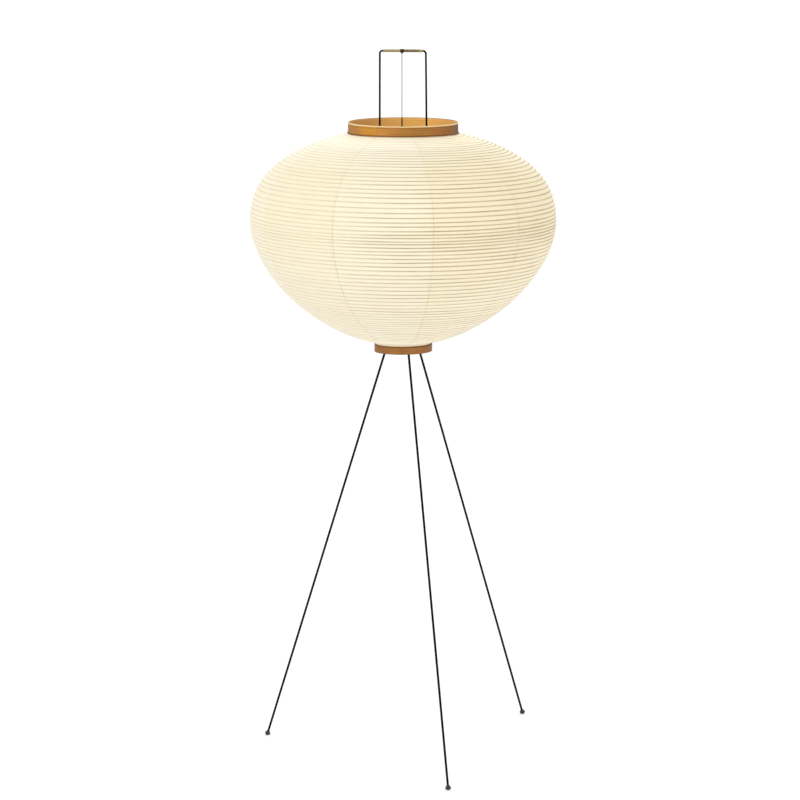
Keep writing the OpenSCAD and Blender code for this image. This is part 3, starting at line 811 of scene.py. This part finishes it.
def paper_look():
    """Handmade paper over a bamboo winding: long fibres, cloudy pulp, doubled strips at the gore seams, the rib showing through."""
    k = Look("handmade_paper", Metallic=0.0)
    pos = k.rest("rest")
    seam_d, seam_v, _ = k.split(k.coords("seam"))
    rib_d, tone, _ = k.split(k.coords("rib"))
    flat = k.coords("UVMap")
    pulp = k.noise(k.stretch(pos, (26, 26, 26)), 1.0, 5, 0.55)
    mottle = k.noise(k.stretch(pos, (110, 110, 110), (4, 0, 2)), 1.0, 4, 0.6)
    long_a = k.fit(k.noise(k.stretch(flat, (55, 900, 1), (2, 5, 0), (0, 0, 0.5)), 1.0, 3, 0.55, 0.6), 0.62, 0.7)
    long_b = k.fit(k.noise(k.stretch(flat, (60, 1000, 1), (7, 1, 0), (0, 0, -0.9)), 1.0, 3, 0.55, 0.6), 0.63, 0.7)
    long_c = k.fit(k.noise(k.stretch(flat, (45, 800, 1), (1, 9, 0), (0, 0, 1.7)), 1.0, 3, 0.55, 0.6), 0.64, 0.71)
    fibres = k.do("MAXIMUM", long_a, k.do("MAXIMUM", long_b, long_c))
    tooth = k.noise(k.stretch(pos, (1300, 1300, 1300)), 1.0, 4, 0.65)
    # the winding behind the paper, stronger in some places than in others, and painted stronger towards the right, away
    # from the light, as painted shade
    along = k.noise(k.stretch(pos, (13, 13, 190), (3, 1, 5)), 1.0, 3, 0.6)
    distance = k.do("ABSOLUTE", rib_d)
    across = k.split(pos)[0]
    rib_strength_and_side_shade = k.do("MULTIPLY", k.fit(along, 0.3, 0.72, 0.5, 1.0), k.fit(across, -0.16, 0.03, 0.36, 1.0, kind="SMOOTHSTEP"))
    line = k.do("MULTIPLY", k.fit(distance, 0.6, 1.65, 1.0, 0.0, kind="SMOOTHSTEP"), rib_strength_and_side_shade)
    halo = k.fit(distance, 0.8, 3.0, 1.0, 0.0, kind="SMOOTHSTEP")
    # doubled paper beside each seam, its edge a thin line that comes and goes, plainest where it crosses the winding
    patchy = k.noise(k.stretch(pos, (60, 60, 190), (9, 3, 1)), 1.0, 3, 0.6)
    inside = k.do("MULTIPLY", k.fit(seam_d, -0.0002, 0.0001), k.fit(seam_d, 0.0046, 0.005, 1.0, 0.0))
    edge = k.fit(k.do("ABSOLUTE", seam_d), 0.0003, 0.0009, 1.0, 0.0, kind="SMOOTHSTEP")
    edge = k.do("MULTIPLY", edge, k.do("ADD", k.fit(patchy, 0.4, 0.6, 0.12, 0.6), k.do("MULTIPLY", halo, 0.4)), clamp=True)
    white = (0.92, 0.878, 0.735)
    cream = (0.9, 0.79, 0.545)
    # the lower part is painted darker and duller: painted shade on the underside
    low = k.fit(k.split(pos)[2], 0.76, 1.0, 1.0, 0.0, kind="SMOOTHSTEP")
    base = k.mix(tone, white, cream)
    base = k.mix(k.fit(pulp, 0.3, 0.72, 0.0, 0.4), base, (0.87, 0.785, 0.59))
    base = k.mix(k.do("MULTIPLY", low, 0.5), base, (0.83, 0.765, 0.6))
    # the upper dome, below the collar and more on the left, is painted paler: painted light where the light falls from
    # above
    top = k.fit(k.split(pos)[2], 1.03, 1.088, 0.0, 1.0, kind="SMOOTHSTEP")
    base = k.mix(k.do("MULTIPLY", top, k.fit(across, 0.01, 0.12, 0.66, 0.25, kind="SMOOTHSTEP")), base, (0.955, 0.935, 0.84))
    base = k.mix(k.fit(mottle, 0.35, 0.75, 0.0, 0.24), base, (0.96, 0.94, 0.86))
    base = k.mix(k.fit(k.noise(k.stretch(pos, (420, 420, 420), (7, 7, 7)), 1.0, 3, 0.6), 0.56, 0.74, 0.0, 0.22), base, (0.76, 0.68, 0.49))
    base = k.mix(k.do("MULTIPLY", fibres, 0.24), base, (0.985, 0.97, 0.91))
    base = k.mix(k.do("MULTIPLY", inside, 0.16), base, (0.8, 0.71, 0.52))
    base = k.mix(k.do("MULTIPLY", halo, 0.08), base, (0.8, 0.72, 0.54))
    base = k.mix(k.do("MULTIPLY", line, 0.94), base, (0.37, 0.295, 0.17))
    base = k.mix(k.do("MULTIPLY", k.do("MULTIPLY", edge, k.fit(k.split(pos)[2], 0.97, 1.06, 0.78, 0.12)), k.fit(across, -0.21, -0.16, 0.3, 1.0)), base, (0.47, 0.38, 0.23))
    glow = k.mix(tone, (1.0, 0.91, 0.68), (1.0, 0.87, 0.58))
    glow = k.mix(k.fit(pulp, 0.3, 0.72, 0.0, 0.5), glow, (0.86, 0.74, 0.5))
    glow = k.mix(k.do("MULTIPLY", line, 0.9), glow, (0.3, 0.25, 0.16))
    glow = k.mix(k.do("MULTIPLY", k.do("MAXIMUM", edge, k.do("MULTIPLY", inside, 0.3)), 0.6), glow, (0.5, 0.4, 0.24))
    # a little painted glow everywhere, standing in for light through the paper, and more beside the collars as painted
    # light that lifts the shade there
    ends = k.do("MAXIMUM", k.fit(k.split(pos)[2], 0.7285, 0.752, 1.0, 0.0, kind="SMOOTHSTEP"), k.fit(k.split(pos)[2], 1.068, 1.092, 0.0, 1.0, kind="SMOOTHSTEP"))
    # the inner face gets a stronger painted glow, standing in for daylight through the paper
    within = k.fit(seam_v, 1.2, 1.6)                       # daylight through the paper is what lights the inner face
    glow = k.mix(k.do("MULTIPLY", within, 0.35), glow, (1.6, 1.42, 1.0))
    glow = k.mix(k.do("MAXIMUM", k.fit(ends, 0.0, 1.0, 0.28, 1.0), within), (0.0, 0.0, 0.0), glow)
    k.set(Base_Color=base, Emission_Color=glow,
          Roughness=k.fit(k.do("ADD", k.do("MULTIPLY", mottle, 0.5), k.do("MULTIPLY", tooth, 0.5)), 0.3, 0.7, 0.68, 0.86))
    height = k.do("ADD", k.do("MULTIPLY", tooth, 0.25), k.do("ADD", k.do("MULTIPLY", fibres, 0.5), k.do("ADD", k.do("MULTIPLY", inside, 0.9), k.do("MULTIPLY", mottle, 0.5))))
    wrinkle = k.noise(k.stretch(flat, (330, 60, 1)), 1.0, 3, 0.6, 0.5)
    height = k.do("ADD", height, k.do("MULTIPLY", wrinkle, 0.9))
    k.set(Normal=k.bump(height, 0.45, 0.00016))
    k.p.inputs["Emission Strength"].default_value = 0.215
    k.p.inputs["Sheen Weight"].default_value = 0.12
    k.p.inputs["Sheen Roughness"].default_value = 0.5
    return k


look_paper = paper_look()
finish_piece(paper, look_paper, "stand", ["paper_skin"])
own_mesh(paper)

# the rib: one continuous split strip wound clockwise up the inside
PER_TURN = 96
steps = TURNS * PER_TURN
t = np.arange(steps + 1) / PER_TURN
a = t * 2 * math.pi
s = np.clip(rib_s(t, a % (2 * math.pi)), S_BOTTOM + 1, S_TOP - 1)
r, z, nr, nz = outline(s)
section = [(0.52, -0.42), (0.66, 0.0), (0.52, 0.42), (0.05, 0.62), (-0.5, 0.5), (-0.5, -0.5), (0.05, -0.62)]
rings = np.zeros((steps + 1, len(section), 3))
for q, (out, side) in enumerate(section):
    # out is away from the lantern's inside, side runs along the outline, upwards
    rr = r + nr * (out - 1.27) - nz * side
    zz = z + nz * (out - 1.27) + nr * side
    rings[:, q, 0], rings[:, q, 1], rings[:, q, 2] = rr * np.cos(a), -rr * np.sin(a), zz
around = lengths(np.array([(x, y, 0) for x, y in section + section[:1]])) * MM
rib = rings_to_mesh("bamboo_rib", rings, lengths(rings[:, 0]) * MM, around)
finish_piece(rib, look_bamboo, "stand", ["rib_spiral"])
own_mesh(rib)

# ---------------------------------------------------------------- bentwood collars

patch_side = {}


def hoop_bearings(edge, count=240):
    """Bearings round a hoop, closer together at its lapped end."""
    b = [edge + x for x in (0.0, 0.22, 0.6)]
    b += [edge + 1.5 + (358.0 - 1.5) * k / (count - 1) for k in range(count)]
    return b


def lapped(edge, step, fade, wobble):
    """The outer face drops by step just past the lapped end, and comes back over fade degrees."""
    rim = smooth_noise(wobble)

    def shift(b, r, z):
        past = (b - edge) % 360.0
        drop = step * max(0.0, 1 - past / fade) if past > 0.1 else 0.0
        a = math.radians(b)
        return drop, 0.07 * float(rim(a, 0.3)), 0.12 * float(rim(a, 2.7))

    return shift


top_lap, bottom_lap = -28.0, -1.0
shift_top, shift_bottom = lapped(top_lap, 0.45, 70.0, 31), lapped(bottom_lap, 0.4, 60.0, 37)


def top_shape(b, r, z):
    drop, dr, dz = shift_top(b, r, z)
    if r > 95.0:
        r = r - drop + dr * 0.6
    elif r > 94.0:
        r = r - drop * 0.5
    if z > 1109.5:
        z = z + min(0.0, dz - 0.06)
    if r > 95.0:
        r -= 0.45
    # the lip dips a little at the two sides
    if z < 1100.0:
        z -= 1.1 * abs(math.sin(math.radians(b))) ** 3 * (1.0 - (z - 1093.0) / 7.0)
    # it sits a touch high, and higher at the back
    return r, z + 1.15 - 0.0095 * r * math.cos(math.radians(b))


top_profile = [(93.62, 1093.25), (94.6, 1093.02), (96.85, 1093.0), (97.05, 1093.15), (97.1, 1093.45), (97.06, 1093.8),
               (96.85, 1094.15), (96.35, 1094.6), (95.95, 1095.3), (95.76, 1097.4), (95.66, 1101.5), (95.6, 1105.0),
               (95.54, 1108.5), (95.5, 1110.2), (95.4, 1110.72), (95.2, 1110.97), (94.9, 1111.0), (94.2, 1110.97),
               (93.8, 1110.72), (93.62, 1110.2), (93.6, 1107.0), (93.6, 1102.0), (93.6, 1097.0), (93.6, 1094.0)]
hoop_top = lathe("top_hoop", top_profile, hoop_bearings(top_lap), top_shape)
top_run = lengths(np.array([(x, y, 0) for x, y in top_profile])) * MM
patch_side["hoop_wood_top"] = (float(top_run[5]), float(top_run[6]))
reach = 97.2 * MM
# top hoop: painted light on the front-left with a painted highlight just left of the front, painted shade on the right
# with a painted shadow band at the right side
look_top_wood = wood("hoop_wood_top", (0.56, 0.27, 0.07), (0.44, 0.195, 0.043), (0.3, 0.12, 0.026),
                     patch=(math.radians(-56.0 + 360.0) * reach, math.radians(top_lap + 360.0) * reach, (0.76, 0.37, 0.045)),
                     ends=((1.0941, 0.0022, 1.0), (1.1072, 0.0011, 0.4, float(top_run[15]))), inside=(float(top_run[19]), (1.0, 0.62, 0.2), (0.86, 0.44, 0.125)),
                     rim=(1.1124, 0.0034, (1.0, 0.83, 0.53)),
                     painted_shading=(2 * math.pi * reach, [(0.0, (0.96, 0.96, 0.96)), (0.036, (0.85, 0.86, 0.93)), (0.08, (0.87, 0.87, 1.0)), (0.14, (0.78, 0.73, 0.98)),
                                                  (0.175, (0.67, 0.66, 0.8)), (0.195, (0.5, 0.49, 0.54)), (0.207, (0.36, 0.34, 0.36)), (0.222, (0.42, 0.41, 0.43)), (0.27, (0.72, 0.72, 0.74)), (0.34, (0.85, 0.85, 0.85)),
                                                  (0.5, (1.0, 1.0, 1.0)), (0.7, (0.88, 0.88, 0.88)), (0.79, (0.88, 0.88, 0.88)), (0.84, (1.12, 1.1, 1.04)),
                                                  (0.88, (1.08, 1.07, 1.0)), (0.918, (1.12, 1.12, 1.02)), (0.927, (1.33, 1.36, 1.4)), (0.963, (1.16, 1.19, 1.3)),
                                                  (1.0, (0.96, 0.96, 0.96))], 1.6),
                     inner_painted_shading=[(0.0, (0.86, 0.86, 0.86)), (0.3, (0.84, 0.84, 0.86)), (0.36, (0.9, 0.88, 0.92)), (0.42, (1.0, 0.98, 0.9)), (0.465, (0.93, 0.94, 0.92)), (0.54, (0.815, 0.82, 0.88)),
                                  (0.604, (0.68, 0.66, 0.76)), (0.645, (0.7, 0.69, 0.8)), (0.72, (0.72, 0.72, 0.76)), (1.0, (0.86, 0.86, 0.86))])
finish_piece(hoop_top, look_top_wood, "lantern_top", ["top_collar"])


def bottom_shape(b, r, z):
    drop, dr, dz = shift_bottom(b, r, z)
    if r > 49.6:
        r = r - drop + dr * 0.5
    if z < 715.5:
        z = z + max(0.0, dz)
    # it hangs a touch low, and lower at the back
    a = math.radians(b)
    return r + 0.4 * math.sin(a), z - 1.5 - 1.2 * (z - 714.3) / 15.0 + 0.012 * r * math.cos(a) + 0.01 * r * math.sin(a)


bottom_profile = [(48.02, 714.7), (48.3, 714.4), (49.0, 714.3), (49.9, 714.35), (50.3, 714.6), (50.46, 715.1), (50.5, 716.5),
                  (50.5, 720.0), (50.5, 724.0), (50.5, 727.6), (50.46, 728.6), (50.3, 729.1), (49.9, 729.3), (49.0, 729.3),
                  (48.4, 729.25), (48.05, 729.0), (48.0, 728.0), (48.0, 724.0), (48.0, 719.0)]
hoop_bottom = lathe("bottom_hoop", bottom_profile, hoop_bearings(bottom_lap, 180), bottom_shape)
reach = 50.5 * MM
# bottom hoop: painted light on the front-left, painted shade on the right side
look_bottom_wood = wood("hoop_wood_bottom", (0.44, 0.21, 0.07), (0.345, 0.15, 0.043), (0.225, 0.088, 0.025),
                        ends=((0.7266, 0.0022, 0.9), (0.7132, 0.0018, 0.75)),
                        painted_shading=(2 * math.pi * reach, [(0.0, (0.98, 0.98, 1.0)), (0.03, (1.06, 1.06, 1.08)), (0.1, (1.0, 1.02, 1.1)), (0.17, (0.84, 0.9, 1.15)),
                                                     (0.3, (0.8, 0.85, 0.95)), (0.7, (0.9, 0.9, 0.95)), (0.82, (0.95, 1.02, 1.2)), (0.9, (1.12, 1.12, 1.1)),
                                                     (0.97, (1.14, 1.14, 1.1)), (0.99, (1.0, 1.0, 1.0)), (1.0, (0.98, 0.98, 1.0))], 1.2))
finish_piece(hoop_bottom, look_bottom_wood, "stand", ["bottom_collar"])

# ---------------------------------------------------------------- bail, grip, lashing, hanger, crosswire


def arc(centre, start, end, radius, count=10):
    """Points on an arc in the XZ plane, angles in degrees from +X towards +Z."""
    return [(centre[0] + radius * math.cos(math.radians(start + (end - start) * k / count)), 0.0,
             centre[1] + radius * math.sin(math.radians(start + (end - start) * k / count))) for k in range(count + 1)]


def straight(p, q, count):
    p, q = np.asarray(p, float), np.asarray(q, float)
    return [tuple(p + (q - p) * k / count) for k in range(count + 1)]


BAR_L, BAR_R = 1234.1, 1233.6
left_top, right_top = -39.9, 39.1
BAIL_L, BAIL_R = -40.2, 40.4
bail_path = straight((-18.0, 0, 768), (BAIL_L + 8.0, 0, 768), 4)
bail_path += arc((BAIL_L + 8.0, 776.0), 270, 180, 8.0)[1:]
bail_path += straight((BAIL_L, 0, 776), (BAIL_L, 0, 1104), 26)[1:]
bail_path += straight((BAIL_L, 0, 1104), (left_top, 0, BAR_L - 4.8), 12)[1:]
bail_path += arc((left_top + 4.8, BAR_L - 4.8), 180, 90, 4.8, 8)[1:]
bail_path += straight((left_top + 4.8, 0, BAR_L), (right_top - 5.0, 0, BAR_R), 20)[1:]
bail_path += arc((right_top - 5.0, BAR_R - 5.0), 90, 0, 5.0, 8)[1:]
bail_path += straight((right_top, 0, BAR_R - 5.0), (BAIL_R, 0, 1104), 12)[1:]
bail_path += straight((BAIL_R, 0, 1104), (BAIL_R, 0, 776), 26)[1:]
bail_path += arc((BAIL_R - 8.0, 776.0), 0, -90, 8.0)[1:]
bail_path += straight((BAIL_R - 8.0, 0, 768), (18.0, 0, 768), 4)[1:]
bail = wire("bail_wire", bail_path, [float(np.interp(q[2], [1101.5, 1104.5], [1.35, 1.7])) for q in bail_path], 20)
finish_piece(bail, look_frame, "stand", ["bail"])

# split cane wound on the bar, over the start of the right bend
bail_p = np.array(bail_path)
bail_run = lengths(bail_p)


def bail_at(run):
    return np.stack([np.interp(run, bail_run, bail_p[:, q]) for q in range(3)], -1)


first_i = int(np.argmax((bail_p[:, 2] > 1200) & (bail_p[:, 0] > -35.6)))
grip_start = float(np.interp(-35.2, bail_p[first_i - 3:first_i + 8, 0], bail_run[first_i - 3:first_i + 8]))
bar_mask = (bail_p[:, 2] > 1230.5)
end_x = 35.4
order = np.where(bar_mask)[0]
grip_end = float(np.interp(end_x, bail_p[order, 0], bail_run[order]))
winding = 2.42
turns_on_bar = (grip_end - grip_start) / winding
n_cane = int(turns_on_bar * 40)
u = np.linspace(0, 1, n_cane + 1)
run = grip_start + 0.9 + u * (grip_end - grip_start - 1.8)
centre = bail_at(run)
tangent = bail_at(run + 0.6) - bail_at(run - 0.6)
tangent /= np.linalg.norm(tangent, axis=1)[:, None]
side_y = np.array([0, 1.0, 0])
up = np.cross(side_y[None, :], tangent) * -1.0
up /= np.linalg.norm(up, axis=1)[:, None]
spin = u * turns_on_bar * 2 * math.pi + 1.2
radial = np.cos(spin)[:, None] * up + np.sin(spin)[:, None] * side_y[None, :]
cane_noise = smooth_noise(41)
width = 1.1 + 0.07 * cane_noise(spin, 0.4)
lift = 0.04 * (cane_noise(spin * 0.5, 1.9))
cane_section = [(-0.5, -1.0), (-0.1, -1.07), (0.32, -0.86), (0.53, -0.4), (0.57, 0.0), (0.53, 0.4), (0.32, 0.86), (-0.1, 1.07), (-0.5, 1.0), (-0.52, 0.0)]
rings = np.zeros((n_cane + 1, len(cane_section), 3))
for q, (out, wide) in enumerate(cane_section):
    rings[:, q] = centre + radial * (2.08 + lift + out)[:, None] + tangent * (wide * width)[:, None]
around = lengths(np.array([(x, y, 0) for x, y in cane_section + cane_section[:1]])) * MM
grip = rings_to_mesh("cane_winding", rings, lengths(rings[:, 4]) * MM, around)
finish_piece(grip, look_cane, "stand", ["cane_grip"])

# waxed thread round the grip, then round the hanger wire in a short cone
thread_r = 0.38
bar_z = 1233.85


def coil_points(x0, x1, turns, radius, start):
    out = []
    n = int(turns * 26)
    for k in range(n + 1):
        f = k / n
        w = start + f * turns * 2 * math.pi
        out.append((x0 + (x1 - x0) * f, radius * math.sin(w), bar_z + radius * math.cos(w)))
    return out


band = coil_points(-5.0, 1.2, 8, 2.72, 0.3)
cone_coil = []
hx, hy = -1.95, 3.6
for k in range(9 * 24 + 1):
    f = k / (9 * 24)
    w = f * 9 * 2 * math.pi
    zz = 1234.95 - f * 5.9
    rad = np.interp(zz, [1229.05, 1230.35, 1231.75, 1234.95], [1.2, 1.4, 1.6, 1.4])
    cone_coil.append((hx + rad * math.cos(w), hy + rad * math.sin(w), zz))
crossing = []
for k in range(31):
    f = k / 30
    w = -0.9 + f * (2 * math.pi + 1.9)
    crossing.append((1.0 - 5.2 * f, 3.3 * math.sin(w) * (1 + 0.05 * math.sin(9 * f)), bar_z + 3.3 * math.cos(w)))
lash_band = wire("lashing_band", band, thread_r, 8)
lash_cross = wire("lashing_cross_turn", crossing, thread_r, 8)
lash_loop = wire("lashing_loop", cone_coil, thread_r * 0.95, 8)
finish_piece(lash_band, look_thread, "stand", ["bar_lashing"])
finish_piece(lash_cross, look_thread, "stand")
finish_piece(lash_loop, look_thread, "stand")

# hanger wire: straight down from the lashing, round the crosswire, and twisted back on itself
cross_z = 1100.0
hang = straight((hx, hy, 1234.75), (hx, hy, 1103.4), 40)
for k in range(1, 15):
    w = math.radians(28 - 300 * k / 14)
    hang.append((hx + 0.5 * k / 14, 0 + 3.15 * math.cos(w), cross_z + 0.35 + 3.15 * math.sin(w)))
last = hang[-1]
for k in range(1, 100):
    f = k / 99
    w = math.pi * 1.5 + f * 2 * math.pi * 4.4
    target = (hx + 1.22 * math.cos(w), hy + 1.22 * math.sin(w), 1101.9 + 16.4 * f)
    blendin = min(1.0, k / 12)
    hang.append(tuple(last[q] * (1 - blendin) + target[q] * blendin for q in range(3)))
hanger = wire("hanger_wire_piece", hang, 0.6, 12)
finish_piece(hanger, look_hanger, "lantern_top", ["hanger_wire"])

# crosswire: one wire from side to side with a full turn round each upright
cw = straight((-94.2, 0, cross_z), (-45.4, 0, cross_z), 12)


def eye(cx, count=30):
    """A full turn round an upright, rising by the wire's thickness halfway and settling again."""
    pts = []
    for k in range(count + 1):
        f = k / count
        w = math.pi + f * 3 * math.pi
        climb = 1.38 * math.sin(math.pi * f)
        pts.append((cx + 3.1 * math.cos(w), 3.1 * math.sin(w), cross_z + climb))
    return pts


def smooth_line(points, passes=2):
    p = np.asarray(points, float)
    for _ in range(passes):
        q = p.copy()
        q[1:-1] = 0.25 * p[:-2] + 0.5 * p[1:-1] + 0.25 * p[2:]
        p = q
    return p


cw += eye(BAIL_L)
cw += straight((BAIL_L + 4.4, 0, cross_z), (BAIL_R - 4.4, 0, cross_z), 20)
cw += eye(BAIL_R)
cw += straight((BAIL_R + 4.5, 0, cross_z), (94.2, 0, cross_z), 12)
cross = wire("crosswire_piece", smooth_line(cw, 1), 1.25, 14)
finish_piece(cross, look_frame, "lantern_top", ["top_crosswire"])

# ---------------------------------------------------------------- legs and feet

apex = np.array([0, 0, 814.0])
legs = {"left": (252.0, -103.6), "front": (277.1, 16.0), "right": (295.9, 131.6)}
for key, (reach_r, bearing) in legs.items():
    b = math.radians(bearing)
    foot = np.array([reach_r * math.sin(b), -reach_r * math.cos(b), 4.0])
    axis = unit(apex - foot)
    low = foot + axis * (-1.2 / axis[2])
    high = foot + axis * ((771.5 - 4.0) / axis[2])
    path = straight(low + axis * 0.9, high - axis * 1.3, 60)
    leg = wire("leg_wire_" + key, path, [float(np.interp(q[2], [744.0, 750.0], [2.0, 1.6])) for q in path], 20)
    finish_piece(leg, look_leg, "leg_" + key, ["leg_" + key])
    # a cap with a coned top and a round bottom, worn flat where it stands
    outer_prof = [(0.0, -4.9), (1.4, -4.72), (2.7, -4.15), (3.75, -3.2), (4.5, -2.0), (4.85, -0.9), (4.92, -0.1), (4.8, 0.45),
                  (4.5, 0.95), (4.05, 1.45), (3.4, 2.35), (2.85, 3.3), (2.45, 4.05), (2.2, 4.5), (1.95, 4.68), (1.7, 4.62), (1.62, 4.2), (1.62, 1.0), (0.0, 1.0)]
    x_axis = unit(np.cross(axis, (0, 1.0, 0.1)))
    y_axis = np.cross(axis, x_axis)
    m = 40
    verts = [foot + axis * outer_prof[0][1]]
    for rr, h in outer_prof[1:-1]:
        for q in range(m):
            w = 2 * math.pi * q / m
            verts.append(foot + axis * h + rr * (math.cos(w) * x_axis + math.sin(w) * y_axis))
    verts.append(foot + axis * outer_prof[-1][1])
    verts = np.array(verts)
    verts[:, 2] = np.maximum(verts[:, 2], 0.0)
    tri = []
    for q in range(m):
        tri.append((0, 1 + (q + 1) % m, 1 + q))
    for i in range(len(outer_prof) - 3):
        for q in range(m):
            p0, p1 = 1 + i * m + q, 1 + i * m + (q + 1) % m
            tri.append((p0, p1, p1 + m, p0 + m))
    last_ring, tip = 1 + (len(outer_prof) - 3) * m, len(verts) - 1
    for q in range(m):
        tri.append((last_ring + q, last_ring + (q + 1) % m, tip))
    cap = build("foot_cap_" + key, verts, tri)
    finish_piece(cap, look_foot, "leg_" + key, ["foot_" + key])

# ---------------------------------------------------------------- CAD nodes that stay, with their materials

carried = {
    look_hub: ["hub"], look_spider: ["bottom_spider"], look_zinc: ["hub_setscrews", "lock_nuts", "spider_washers", "bulb_contact"],
    look_brass: ["nipple", "spider_tacks", "screw_shell", "contact_tongue", "terminal_screws"],
    look_black_plastic: ["cord_bushing", "holder_cap", "holder_shell"], look_core: ["holder_core"],
    look_bulb: ["bulb_glass"], look_shell: ["bulb_base"], look_insulator: ["bulb_insulator"],
}
for look, names in carried.items():
    for name in names:
        wear(NODES[name], look)
